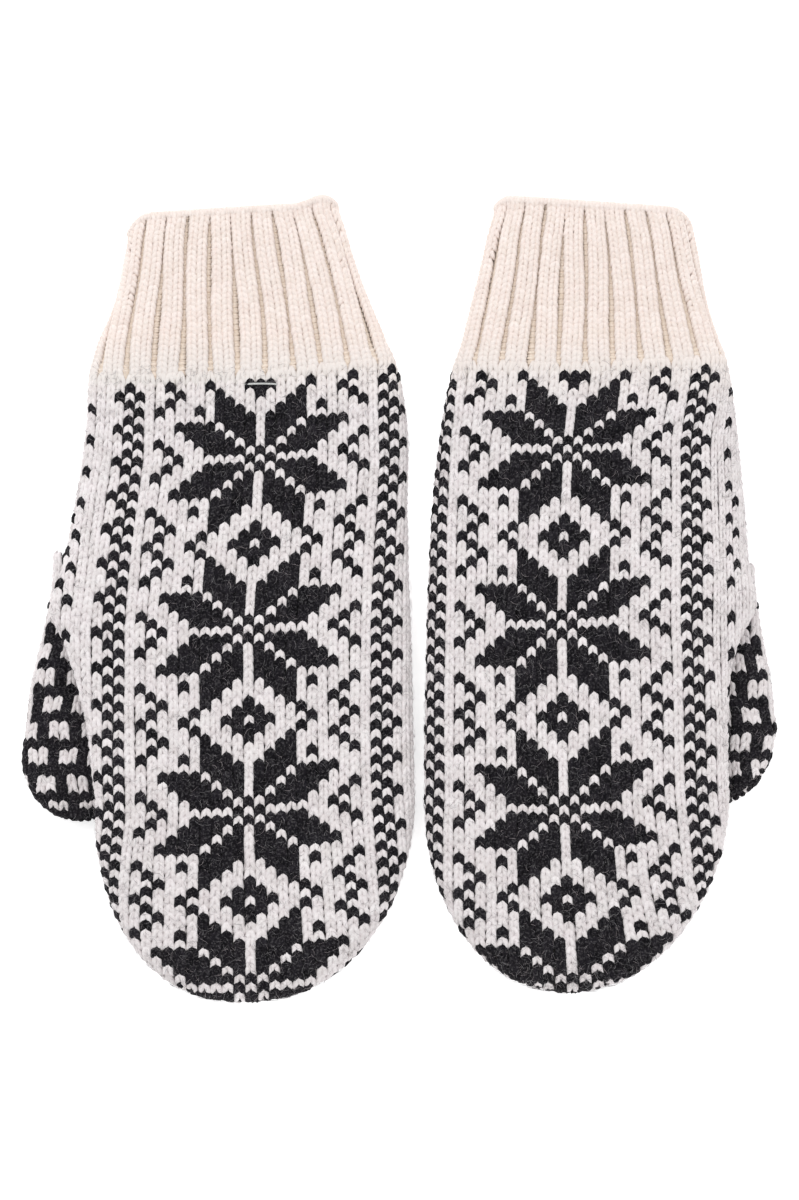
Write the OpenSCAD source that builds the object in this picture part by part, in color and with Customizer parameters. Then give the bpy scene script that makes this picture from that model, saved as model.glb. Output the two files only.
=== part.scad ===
// A pair of knitted mittens lying flat, backs of the hands up, thumbs tucked under the palms.
// Each mitten is drawn with u running from the pair's middle out to the thumb side, y towards
// the cuff and z up, and the left one is mirrored into place. All sizes are in millimetres.

/* [Hand] */
// Thickness of a hand as it lies
hand_t = 16; // [15:0.5:18]
// Thickness of the hand fabric
hand_wall = 3.2; // [2.8:0.1:3.6]
// Thickness of a hand where it lies over its thumb
draped_t = 11.5; // [11:0.5:13]
// Fingertip end of the left mitten
left_tip_y = -134.8; // [-138:0.2:-132]
// Fingertip end of the right mitten
right_tip_y = -131.6; // [-136:0.2:-130]

/* [Cuff] */
// Line across the wrist where the cuff bends
wrist_y = 84; // [82:0.5:86]
// Mouth of the left cuff
left_mouth_y = 131; // [126:0.5:136]
// Mouth of the right cuff
right_mouth_y = 133; // [126:0.5:136]
// Thickness of the ribbed fabric
cuff_wall = 3.6; // [3:0.1:4]
// Depth of the cast-on edge
edge_depth = 3; // [2:0.5:4]

/* [Thumb] */
// Thickness of a thumb as it lies
thumb_t = 10; // [9.5:0.5:11]
// Thickness of the thumb fabric
thumb_wall = 2.6; // [2.3:0.1:2.8]
// Half width of a thumb at its root
root_half = 18.3; // [17:0.1:18.5]
// Sideways place of the left thumb's root
left_root_u = 98.5; // [97.5:0.5:99.5]
// Sideways place of the right thumb's root
right_root_u = 101; // [100:0.5:102]
// Place of the thumb root along the mitten
root_y = -2; // [-4:0.5:0]

/* [Hidden] */

// Stations down each mitten from where the fingertips begin to round: [y, inner edge, outer edge]
LEFT_EDGES = [
    [-66, -5, 101.5], [-45, -4.5, 105.5], [-20, -4, 112], [-3, -3.5, 116.5], [10, -3, 112.5],
    [30, -2.5, 108.5], [57, -2.5, 104.5], [78, 1, 102], [100, 10, 95.5], [117, 16, 92], [136, 20, 89]
];
RIGHT_EDGES = [
    [-66, 8.5, 109.5], [-45, 8.5, 110], [-20, 9, 113], [-3, 9.5, 119], [10, 10, 116.5],
    [30, 11, 115], [57, 14, 112.5], [78, 18, 109.5], [100, 23.5, 103], [117, 28, 99.5], [136, 31, 96.5]
];
// Stations down each thumb: [y, middle, half width]
LEFT_THUMB = [
    [-53, 106.3, 19.5], [-30, 104, 19.3], [0, left_root_u, root_half], [20, left_root_u - 1.5, root_half]
];
RIGHT_THUMB = [
    [-41, 105.8, 20], [-25, 104, 19.6], [0, right_root_u, root_half], [20, right_root_u - 1, root_half]
];

// The two mittens: edges, tip y, tip middle, tip squareness, mouth y, mouth tilt, thumb, thumb tip y,
// thumb root
LEFT = [LEFT_EDGES, left_tip_y, 52, 2.15, left_mouth_y, 0.06, LEFT_THUMB, -74, left_root_u];
RIGHT = [RIGHT_EDGES, right_tip_y, 56.2, 2, right_mouth_y, 0.065, RIGHT_THUMB, -68.5, right_root_u];

round_y = -66;            // where the fingertips begin to round
closure_depth = 5;        // depth of the drawn-together end of a hand
thumb_closure_depth = 3.5;
tip_t = 7;                // thickness at the very end of a hand
thumb_tip_t = 6;
flat_part = 0.6;          // share of the width over which a section is flat
bend_r = 9.5;             // rounded end of the cuff inside the hand
root_r = 19.2;            // rounded root of the thumb inside the hand
running_gap = 0.4;
rest_z = 0.2;             // how much of the palm is pressed flat by the surface below
under_gap = 0.7;          // between a thumb and the palm over it
lift = thumb_t + under_gap;
drape_in = 50;            // the palm starts to rise here towards the thumb
drape_out = 77;           // and is clear of the thumb from here out
label_size = [22, 12, 0.8];
label_at = [45, 68];
thread_d = 0.7;

function smooth(a, b, v) = let (t = max(0, min(1, (v - a) / (b - a)))) t * t * (3 - 2 * t);

// Smooth curve through column k of rows, at height y
function seg(rows, y, i = 0) = i >= len(rows) - 2 || y <= rows[i + 1][0] ? i : seg(rows, y, i + 1);
function steep(rows, k, i) =
    let (a = rows[max(i - 1, 0)], b = rows[min(i + 1, len(rows) - 1)])
    (b[k] - a[k]) / (b[0] - a[0]);
function curve(rows, k, y) =
    let (i = seg(rows, y), a = rows[i], b = rows[i + 1], h = b[0] - a[0], t = (y - a[0]) / h)
    let (s = t * t * (3 - 2 * t))
    a[k] + s * (b[k] - a[k])
    + h * t * (1 - t) * ((1 - t) * steep(rows, k, i) - t * steep(rows, k, i + 1));

// Rounding of an end: 1 where it begins, 0 at its tip
function rounding(depth, power) = (1 - min(1, depth) ^ power) ^ (1 / power);

// Middle and half width of a mitten at y
function tip_share(m, y) = max(0, min(1, (round_y - y) / (round_y - m[1])));
function middle(m, y) =
    let (at = max(y, round_y), mid = (curve(m[0], 1, at) + curve(m[0], 2, at)) / 2)
    mid + (m[2] - mid) * tip_share(m, y) ^ 1.5;
function half(m, y) =
    let (at = max(y, round_y), whole = (curve(m[0], 2, at) - curve(m[0], 1, at)) / 2)
    whole * rounding(tip_share(m, y), m[3]);

// Middle and half width of a thumb at y
function thumb_share(m, y) = max(0, min(1, (m[6][0][0] - y) / (m[6][0][0] - m[7])));
function thumb_middle(m, y) = curve(m[6], 1, max(y, m[6][0][0]));
function thumb_half(m, y) = curve(m[6], 2, max(y, m[6][0][0])) * rounding(thumb_share(m, y), 2);

// Underside and thickness of a hand at a point of its plan
function thickness(m, y) = tip_t + (hand_t - tip_t) * rounding(tip_share(m, y), m[3]) ^ 0.7;
function under(m, u, y) =
    lift * smooth(drape_in, drape_out, u) * smooth(18, 3, y) * smooth(-104, -78, y)
    + (hand_t - thickness(m, y)) / 5 - rest_z;
function over(m, u, y) =
    let (rise = lift + draped_t - hand_t)
    thickness(m, y) + (hand_t - thickness(m, y)) / 5
    + rise * smooth(40, 96, u) * smooth(44, 0, y) * smooth(-112, -66, y);

// Places across a section, closer together towards its edges, and the section's height there
across = 10;
SHARES = [for (i = [-across : across]) sign(i) * (1 - (1 - abs(i) / across) ^ 1.8)];
function bulge(x) = let (t = max(0, (abs(x) - flat_part) / (1 - flat_part))) (1 - t ^ 2.6) ^ 0.5;
function plus_minus() = concat(
    [for (i = [0 : 2 * across]) [SHARES[i], 1]],
    [for (i = [2 * across - 1 : -1 : 1]) [SHARES[i], -1]]
);

function hand_ring(m, y, inset) = [
    for (p = plus_minus())
    let (a = half(m, y) - inset, u = middle(m, y) + a * p[0])
    let (low = under(m, u, y), high = over(m, u, y))
    [u, y, (low + high) / 2 + p[1] * ((high - low) / 2 - inset) * bulge(p[0])]
];

// A cuff's rings lean towards its tilted mouth
function cuff_ring(m, y, inset) = [
    for (p = plus_minus())
    let (a = half(m, y) - inset, tilt = m[5] * smooth(wrist_y, m[4], y))
    [
        middle(m, y) + a * p[0],
        y - tilt * half(m, y) * p[0],
        hand_t / 2 - rest_z / 2 + p[1] * ((hand_t + rest_z) / 2 - inset) * bulge(p[0])
    ]
];

function thumb_ring(m, y, inset) = [
    for (p = plus_minus())
    let (a = thumb_half(m, y) - inset)
    let (t = thumb_tip_t + (thumb_t - thumb_tip_t) * rounding(thumb_share(m, y), 2) ^ 0.7)
    [
        thumb_middle(m, y) + a * p[0],
        y,
        thumb_t / 2 - (thumb_t - t) / 4 + p[1] * (t / 2 - inset) * bulge(p[0])
    ]
];

// Triangles between ring j and ring j + 1 of n points, numbered from first
function band(first, n, j, out) = [
    for (i = [0 : n - 1])
    let (a = first + j * n + i, b = first + j * n + (i + 1) % n)
    each out ? [[a, b, b + n], [a, b + n, a + n]] : [[a, b + n, b], [a, a + n, b + n]]
];

// Closed solid through rings of points, flat at both ends
module solid(rings) {
    n = len(rings[0]);
    last = (len(rings) - 1) * n;
    polyhedron(
        [for (ring = rings) each ring],
        concat(
            [[for (i = [n - 1 : -1 : 0]) i]],
            [for (j = [0 : len(rings) - 2]) each band(0, n, j, true)],
            [[for (i = [0 : n - 1]) last + i]]
        ),
        convexity = 4
    );
}

// Tube between outer rings and inner rings, open at both ends
module tube(outer, inner) {
    n = len(outer[0]);
    count = len(outer);
    inner_at = count * n;
    last = (count - 1) * n;
    polyhedron(
        [for (ring = concat(outer, inner)) each ring],
        concat(
            [for (j = [0 : count - 2]) each band(0, n, j, true)],
            [for (j = [0 : count - 2]) each band(inner_at, n, j, false)],
            [
                for (i = [0 : n - 1])
                let (k = (i + 1) % n)
                each [[i, inner_at + k, k], [i, inner_at + i, inner_at + k]]
            ],
            [
                for (i = [0 : n - 1])
                let (a = last + i, b = last + (i + 1) % n)
                each [[a, b, inner_at + b], [a, inner_at + b, inner_at + a]]
            ]
        ),
        convexity = 8
    );
}

module place(m) {
    mirror([m == LEFT ? 1 : 0, 0, 0]) children();
}

module below_rest() {
    translate([-10, -200, -10]) cube([160, 400, 10]);
}

// Round bar across the wrist, about which the cuff bends
module wrist_bar(r) {
    translate([-20, wrist_y, hand_t / 2]) rotate([0, 90, 0]) cylinder(h = 150, r = r, $fn = 64);
}

// Upright round post about which the thumb swings
module root_post(m, top, r) {
    translate([m[8], root_y, -5]) cylinder(h = top + 5, r = r, $fn = 64);
}

module hand(m) {
    end = m[1] + closure_depth;
    ys = concat(
        [for (i = [0 : 5]) end + i * (-100 - end) / 6],
        [for (y = [-100 : 8.5 : 2]) y],
        [for (y = [5, 8, 11, 14, 18, 26, 36, 48, 60, 70, 77, wrist_y]) y]
    );
    color("gainsboro") place(m) difference() {
        tube([for (y = ys) hand_ring(m, y, 0)], [for (y = ys) hand_ring(m, y, hand_wall)]);
        wrist_bar(bend_r + running_gap);
        root_post(m, thumb_t + running_gap, root_r + running_gap);
        below_rest();
    }
}

module tip_closure(m) {
    color("ivory") place(m)
    solid([for (i = [0 : 4]) hand_ring(m, m[1] + closure_depth * (0.02 + 0.98 * (i / 4) ^ 2), 0)]);
}

module cuff(m) {
    start = wrist_y - bend_r;
    ys = [for (i = [0 : 9]) start + i * (m[4] - edge_depth - start) / 9];
    color("ivory") place(m) difference() {
        tube([for (y = ys) cuff_ring(m, y, 0)], [for (y = ys) cuff_ring(m, y, cuff_wall)]);
        difference() {
            translate([-15, wrist_y - 20, -5]) cube([140, 20, hand_t + 10]);
            wrist_bar(bend_r);
        }
        below_rest();
    }
}

// The cast-on edge is a bead with rounded lips
module cuff_edge(m) {
    from = m[4] - edge_depth;
    lips = [[0, 0, 0], [0.45, -0.3, -0.3], [0.85, 0.5, 0.4], [1, 1.2, 1.1]];
    color("ivory") place(m) difference() {
        tube(
            [for (s = lips) cuff_ring(m, from + s[0] * edge_depth, s[1])],
            [for (s = lips) cuff_ring(m, from + s[0] * edge_depth, cuff_wall - s[2])]
        );
        below_rest();
    }
}

// Tail of yarn darned along the inside of the cuff
module yarn_end(m) {
    d = 2.2;
    color("ivory") place(m)
    translate([middle(m, 100) - 18, 92, cuff_wall - rest_z + d / 2 + 0.05]) {
        sphere(d = d, $fn = 24);
        rotate([-90, 0, 0]) cylinder(h = 30, d = d, $fn = 24);
        translate([0, 30, 0]) sphere(d = d, $fn = 24);
    }
}

// Picked-up round of stitches, a rounded root that turns in the hand's opening
module thumb_round(m) {
    ys = [for (i = [0 : 5]) root_y - 4 + i * 23 / 5];
    color("gray") place(m) difference() {
        tube([for (y = ys) thumb_ring(m, y, 0)], [for (y = ys) thumb_ring(m, y, thumb_wall)]);
        difference() {
            translate([m[8] - 40, root_y, -2]) cube([80, 40, thumb_t + 4]);
            root_post(m, thumb_t + 5, root_r);
        }
    }
}

module thumb(m) {
    tip_from = m[6][0][0];
    end = m[7] + thumb_closure_depth;
    ys = concat(
        [for (i = [0 : 4]) end + i * (tip_from - end) / 5],
        [for (i = [0 : 4]) tip_from + i * (root_y - 4 - tip_from) / 4]
    );
    color("gray") place(m)
    tube([for (y = ys) thumb_ring(m, y, 0)], [for (y = ys) thumb_ring(m, y, thumb_wall)]);
}

module thumb_closure(m) {
    color("dimgray") place(m)
    solid([for (i = [0 : 4]) thumb_ring(m, m[7] + thumb_closure_depth * (0.02 + 0.98 * (i / 4) ^ 2), 0)]);
}

// Blank tape sewn inside the back of the wrist
module label() {
    color("white") place(LEFT)
    translate([label_at[0], label_at[1], hand_t - hand_wall - label_size[2] / 2])
    cube(label_size, center = true);
}

// Thread that holds the tape and shows on the back of the hand
module label_stitches() {
    reach = 9.4;
    top = hand_t - rest_z / 2 + thread_d / 2;
    color("white") place(LEFT)
    translate([label_at[0] - reach / 2, label_at[1] + 4.4, 0]) {
        translate([0, 0, top]) rotate([0, 90, 0]) cylinder(h = reach, d = thread_d, $fn = 24);
        for (x = [0, reach])
            translate([x, 0, top - 4]) cylinder(h = 4, d = thread_d, $fn = 24);
    }
}

hand(LEFT);  // left_hand
tip_closure(LEFT);  // left_tip_closure
cuff(LEFT);  // left_cuff
cuff_edge(LEFT);  // left_cuff_edge
yarn_end(LEFT);  // left_yarn_end
thumb_round(LEFT);  // left_thumb_round
thumb(LEFT);  // left_thumb
thumb_closure(LEFT);  // left_thumb_closure
label();  // left_label
label_stitches();  // left_label_stitches
hand(RIGHT);  // right_hand
tip_closure(RIGHT);  // right_tip_closure
cuff(RIGHT);  // right_cuff
cuff_edge(RIGHT);  // right_cuff_edge
yarn_end(RIGHT);  // right_yarn_end
thumb_round(RIGHT);  // right_thumb_round
thumb(RIGHT);  // right_thumb
thumb_closure(RIGHT);  // right_thumb_closure
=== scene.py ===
"""A pair of knitted mittens lying flat: stranded hands, ribbed cuffs and thumbs folded underneath.

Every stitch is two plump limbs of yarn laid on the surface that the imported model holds. Each mitten
is worked out in its own millimetres: u runs from the pair's middle out to the thumb side, y towards
the cuff and z up, and x = side * u. Rows are numbered from the middle of the first star to the tip.
"""

import math

import bpy
import numpy as np
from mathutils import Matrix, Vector


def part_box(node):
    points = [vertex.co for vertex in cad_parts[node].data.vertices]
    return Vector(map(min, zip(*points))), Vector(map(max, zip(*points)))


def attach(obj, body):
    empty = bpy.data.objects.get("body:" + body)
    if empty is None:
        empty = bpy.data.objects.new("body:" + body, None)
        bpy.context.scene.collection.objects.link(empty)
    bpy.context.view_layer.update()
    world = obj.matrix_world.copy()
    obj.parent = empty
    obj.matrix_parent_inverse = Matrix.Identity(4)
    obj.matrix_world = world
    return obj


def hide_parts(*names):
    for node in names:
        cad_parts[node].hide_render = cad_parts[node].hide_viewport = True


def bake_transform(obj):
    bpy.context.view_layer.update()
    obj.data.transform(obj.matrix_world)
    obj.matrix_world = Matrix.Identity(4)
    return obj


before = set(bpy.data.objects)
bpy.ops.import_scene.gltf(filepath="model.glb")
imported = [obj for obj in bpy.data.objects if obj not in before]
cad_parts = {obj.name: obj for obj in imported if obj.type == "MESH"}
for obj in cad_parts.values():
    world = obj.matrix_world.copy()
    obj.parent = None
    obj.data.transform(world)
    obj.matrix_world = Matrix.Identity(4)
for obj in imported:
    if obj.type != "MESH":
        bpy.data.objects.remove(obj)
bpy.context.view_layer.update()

MM = 0.001
SEED = 20

# The hand and thumb as packed: thickness and roll of the edges, in the middle and at the tip
HAND_T = 16.0
TIP_T = 7.0
DRAPED_T = 11.5
THUMB_T = 10.0
THUMB_TIP_T = 6.0
HAND_ROLL = (21.0, 9.0)
THUMB_ROLL = (7.7, 6.0)
REST_Z = 0.2
LIFT = THUMB_T + 0.7
# Where the hand's lower and upper sides rise over the thumb: across, at the wrist and at the tip
LOW_DRAPE = ((50, 77), (18, 3), (-104, -78))
HIGH_DRAPE = ((40, 96), (44, 0), (-112, -66))

# Along y: where the tip starts to round, the thumb's root, and the ends of the hand and the thumb
ROUND_Y = -66.0
ROOT_Y = -2.0
HAND_END = 141
THUMB_END = 18
# The cuff: where its ribs fan out, their width is taken and a stitch's place is first guessed, and
# where its mouth and lip are worked out
FAN_FROM, FAN_LENGTH = 79, 52
PITCH_FROM = 78
GUESS_FROM, GUESS_LENGTH = 80, 50
MOUTH_Y = 130.0
LIP_Y = 129.0
# The mouth: its corners, its lip and the pitch of its loops, and how the cuff narrows and thins there
CORNER = 6.0
INNER_CORNER = (34, 24)
RIM = 1.75
RIM_PITCH = 1.3
NEAR_MOUTH = (116, 131)
NARROWS = 0.035
THINS = 0.2
# Spans along y at the wrist and at the thumb's root, where pieces lie across two bodies
WRIST_BLEND = (79, 91)
ROOT_BLEND = (8, -12)

# Half the yarn's thickness, the width of a stitch and the height of a row
YARN = 0.75
WALE = 3.58
THUMB_WALE = 3.4
ROW = 2.94
FIRST_ROW = -10
LAST_ROW = 64
ZIGZAG_END = 54
CUFF_ROWS = 29
CUFF_FIRST_ROW = -10.3
# Columns from which the stitches are a piece of their own, and are narrower
SIDE_COLUMN = 12
NARROW_COLUMN = 14.5
VALLEY_SINK = 1.9
# How far rows and single stitches may run past the edge
PAST_EDGE = 3.2
OVER_EDGE = 4.2
THUMB_PAST_EDGE = 1.7
THUMB_OVER_EDGE = 2.4
# The thumb: its top row, the end of its plain wale and its black tip
THUMB_TOP = 12.0
PLAIN_END = -42
BLACK_TIP = 4.6
# Shares of the half width between which the loops that close the tips run
TIP_LOOPS = (-0.42, 0.44)
THUMB_LOOPS = (-0.55, 0.8)
# Depths of the two faces of the fabric behind the stitches
LINING = (2.4, 3.1)

# Along a limb of a stitch: stations, girth and height, its ends in wales, and its place in rows
STATIONS = np.array([-0.02, 0.05, 0.2, 0.42, 0.68, 0.9, 1.0])
GIRTH = (0.5, 0.85, 1.05, 1.0, 0.62)
RISE = np.array([-0.75, -0.2, 0.28, 0.4, 0.0, -0.85, -1.3])
FOOT = 0.03
HEAD = 0.38
LIMB_START = -0.7
LIMB_ROWS = 1.95
# Half width of a limb in wales, its half height in YARN, and how stitches differ from each other
LIMB_WIDTH = 0.25
LIMB_HEIGHT = 1.05
UNEVEN = 0.02
WIDTH_UNEVEN = 0.04
# The loop behind a stitch: stations, girth, half width in wales, half height and depth in YARN
BACK_STATIONS = np.array([-0.45, -0.25, 0.1, 0.45, 0.65])
BACK_GIRTH = (0.8, 1.0, 0.8)
BACK_WIDTH = 0.26
BACK_HEIGHT = 0.8
BACK_DEPTH = 0.95
# Black stitches are fatter than light ones and stand a little proud of them
BLACK_FAT = 1.22
BLACK_PROUD = 0.18

# Stray hairs: their number, half thickness and height over the yarn's middle
HAIRS = 3600
HAIR = 0.045
HAIR_FOOT = 0.85

FLOOR_GLOW = 0.55
FLECK = (0.12, 0.115, 0.12)
# Share of a limb's texture that each of its pointed ends takes
CAP = 0.08

# A row rises over SPAN mm from the pattern's line, and folds beside the thumb
SPAN = 40.0
FOLD_FROM = 46.0
FOLD_WIDTH = 12.0

# Facts of each mitten, in mm:
# tilt, corner: slope of the mouth and the lift of its inner corner; mouth: its height
# edges: [y, inner u, outer u] of the hand and cuff
# tip_middle, power: middle of the tip and the power of its rounding
# thumb, root_u: [y, middle, half width] of the thumb, and the u of its root
# rows: [row, y and u at the pattern's line, rise by the tilt, by the bend of the inner and of the
#     outer half and by the fold, inner and outer stitch width]
# side_wales: width of the sides' narrower stitches, beside the others
# ribs: u of the fan's line at the mouth and the wrist, and a rib's width there
# rib_numbers: first and last rib of the back, and how many the palm has
# thumb_shift: shift of the thumb's wales sideways, and of its rows along y
LEFT = {
    "name": "left", "side": -1, "tilt": 0.06, "mouth": 131.0, "corner": 2.5,
    "edges": [
        [-66, -5, 101.2], [-45, -4.5, 103.6], [-30, -4.2, 106.6], [-14, -3.8, 111.5],
        [-3, -3.5, 116.2], [10, -3, 112.5], [30, -2.5, 108.5], [57, -2.5, 104.5], [78, 1, 103],
        [100, 10, 95.5], [117, 16, 92], [136, 20, 89], [142, 21, 88],
    ],
    "tip_middle": 52.0, "power": 2.15, "root_u": 98.5,
    "thumb": [[-53, 106.3, 19.5], [-30, 104, 19.3], [0, 98.5, 18.3], [20, 97, 18.3]],
    "rows": [
        [-9, 72.0, 46.2, -2.3, 2.0, 1.0, 1.3, 3.40, 3.32],
        [0, 47.7, 46.2, -2.3, 2.0, 1.0, 2.5, 3.43, 3.40],
        [10, 19.2, 48.2, -2.1, 1.1, 0.5, 4.0, 3.48, 3.55],
        [20, -9.2, 50.3, -1.95, 0.2, 0.0, 5.5, 3.54, 3.60],
        [40, -69.6, 50.1, -3.15, 2.1, 1.7, 3.0, 3.54, 3.60],
        [50, -99.4, 49.7, -2.9, 2.9, 3.2, 0.0, 3.72, 3.84],
        [60, -128.5, 49.3, -2.65, 3.1, 3.6, 0.0, 3.92, 3.97],
    ],
    "label": True, "side_wales": 1.0, "ribs": [63.5, 63.0, 7.1, 9.3],
    "rib_numbers": (-7, 4, 10), "thumb_shift": [2.7, 2.4],
}
RIGHT = {
    "name": "right", "side": 1, "tilt": 0.065, "mouth": 133.0, "corner": 0.0,
    "edges": [
        [-66, 8.5, 109.4], [-45, 8.5, 109.2], [-24, 9, 110], [-12, 9.2, 113.5], [-2, 9.5, 118.5],
        [10, 10, 116.5], [30, 11, 115], [57, 14, 112.5], [78, 18, 109.5], [100, 23.5, 103],
        [117, 28, 99.5], [136, 31, 96.5], [142, 32, 95.5],
    ],
    "tip_middle": 56.2, "power": 2.0, "root_u": 101.0,
    "thumb": [[-41, 105.8, 20], [-25, 104, 19.6], [0, 101, 18.3], [20, 100, 18.3]],
    "rows": [
        [-9, 74.6, 58.5, 0, 0.3, 1.9, 0.0, 3.44, 3.34],
        [0, 50.8, 55.8, 0, 0.3, 2.3, 0.0, 3.43, 3.27],
        [20, -7.6, 53.8, 0, 0.0, 5.2, 0.0, 3.38, 3.46],
        [40, -69.4, 54.6, 0, 2.5, 5.5, 0.0, 3.48, 3.54],
        [50, -99.0, 56.0, 0, 1.9, 6.6, 0.0, 3.64, 3.66],
        [60, -128.4, 57.6, 0, 0.2, 6.4, 0.0, 3.88, 4.36],
    ],
    "label": False, "side_wales": 0.7, "ribs": [61.7, 62.0, 6.8, 9.3],
    "rib_numbers": (-5, 5, 10), "thumb_shift": [3.0, -1.6],
}


# ---- shape

def smooth(a, b, v):
    t = np.clip((v - a) / (b - a), 0, 1)
    return t * t * (3 - 2 * t)


def curve(rows, k, y):
    """Smooth curve through column k of the stations, at y."""
    rows = np.asarray(rows, float)
    at, value = rows[:, 0], rows[:, k]
    number = np.arange(len(at))
    before, after = np.maximum(number - 1, 0), np.minimum(number + 1, len(at) - 1)
    steep = (value[after] - value[before]) / (at[after] - at[before])
    i = np.clip(np.searchsorted(at, y) - 1, 0, len(at) - 2)
    h = at[i + 1] - at[i]
    t = (y - at[i]) / h
    turn = h * t * (1 - t) * ((1 - t) * steep[i] - t * steep[i + 1])
    return value[i] + t * t * (3 - 2 * t) * (value[i + 1] - value[i]) + turn


def grid(a, b):
    return [v.ravel() for v in np.meshgrid(a, b)]


def rounding(depth, power):
    return (1 - np.clip(depth, 0, 1) ** power) ** (1 / power)


class Form:
    """Outer shape of a hand with its cuff, or of a thumb."""

    def __init__(self, stations, round_y, tip_y, tip_middle, power, rolls):
        self.stations, self.round_y, self.tip_y = stations, round_y, tip_y
        self.tip_middle, self.power, self.rolls = tip_middle, power, rolls
        self.depth = round_y - tip_y

    def share(self, y):
        return np.clip((self.round_y - y) / self.depth, 0, 1)

    def middle(self, y):
        straight = curve(self.stations, 1, np.maximum(y, self.round_y))
        if self.tip_middle is None:
            return straight
        return straight + (self.tip_middle - straight) * self.share(y) ** 1.5

    def whole(self, y):
        return curve(self.stations, 2, np.maximum(y, self.round_y))

    def half(self, y):
        return self.whole(y) * rounding(self.share(y), self.power)

    def distance(self, u, y):
        """How far a point of the plan is inside the outline."""
        p, whole = self.power, self.whole(y)
        x = np.abs(u - self.middle(y)) / whole
        s = np.maximum((self.round_y - y) / self.depth, 0)
        f = (x ** p + s ** p) ** (1 / p)
        gx = ((x + 1e-9) / (f + 1e-9)) ** (p - 1) / whole
        gs = (s / (f + 1e-9)) ** (p - 1) / self.depth
        return (1 - f) / np.maximum(np.hypot(gx, gs), 0.5 / whole)

    def bulge(self, u, y, inset):
        roll = self.rolls[0] + (self.rolls[1] - self.rolls[0]) * self.share(y)
        t = np.clip(1 - (self.distance(u, y) - inset) / roll, 0, 1)
        return np.sqrt(1 - t ** 2.6)

    def z(self, u, y, face, inset):
        """Height of the upper (face 1) or lower (face -1) side; the upper one is a little wavy."""
        low, high = self.low_high(u, y)
        wave = 0.3 * np.sin(u / 9.0 + 1.3 * np.sin(y / 23.0)) * np.sin(y / 14.0 + 0.4)
        reach = (high - low) / 2 - inset
        return (low + high) / 2 + face * (reach + (wave if face > 0 else 0)) * self.bulge(u, y, inset)

    def edge(self, y, inset, way):
        """Sideways place at which the outline, drawn in by inset, is crossed at each y."""
        steps = 240
        u = self.middle(y)[:, None] + way * self.whole(y)[:, None] * np.linspace(0, 1, steps)
        d = self.distance(u, np.broadcast_to(y[:, None], u.shape)) - inset
        last = np.maximum((d > 0).sum(1) - 1, 0)
        row = np.arange(len(y))
        following = np.minimum(last + 1, steps - 1)
        a, b = d[row, last], d[row, following]
        t = np.where(a > 0, a / np.maximum(a - b, 1e-6), 0)
        return u[row, last] + np.clip(t, 0, 1) * (u[row, following] - u[row, last])


def lifted(height, drape, u, y):
    """Rise over the thumb: the full height between the three spans of a drape, and none beyond."""
    across, wrist_end, tip_end = drape
    return height * smooth(*across, u) * smooth(*wrist_end, y) * smooth(*tip_end, y)


class Hand(Form):
    def low_high(self, u, y):
        t = TIP_T + (HAND_T - TIP_T) * rounding(self.share(y), self.power) ** 0.7
        centre = (HAND_T - t) / 5
        low = lifted(LIFT, LOW_DRAPE, u, y)
        high = t + lifted(LIFT + DRAPED_T - HAND_T, HIGH_DRAPE, u, y)
        return low + centre - REST_Z, high + centre


class Thumb(Form):
    def low_high(self, u, y):
        t = THUMB_TIP_T + (THUMB_T - THUMB_TIP_T) * rounding(self.share(y), 2) ** 0.7
        centre = THUMB_T / 2 - (THUMB_T - t) / 4
        return centre - t / 2, centre + t / 2


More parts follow.
